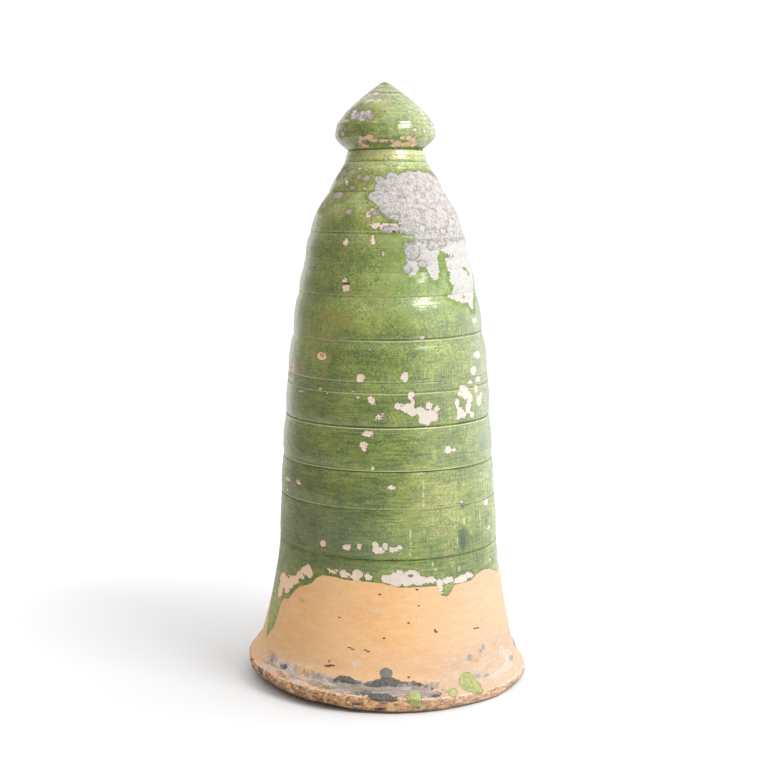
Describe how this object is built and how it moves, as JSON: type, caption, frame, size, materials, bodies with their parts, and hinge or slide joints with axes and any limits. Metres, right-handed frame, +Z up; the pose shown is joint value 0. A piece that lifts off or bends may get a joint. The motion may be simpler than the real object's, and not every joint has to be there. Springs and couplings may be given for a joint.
{
  "type": "roof finial",
  "caption": "Tall hollow bell-shaped terracotta roof finial with thrown rings, flared foot and pointed knob, green glaze over slip.",
  "frame": {"origin": "on the floor, under the middle of the foot ring", "axes": "+Z up along the turning axis; the side that the picture shows faces -Y"},
  "size_m": [0.36, 0.36, 0.75],
  "materials": {
    "glazed_terracotta": "weathered green lead glaze over pale slip, bare buff terracotta foot, chips, lichen and bare clay inside"
  },
  "bodies": {
    "root": {"roof_finial": "glazed_terracotta"}
  },
  "joints": []
}
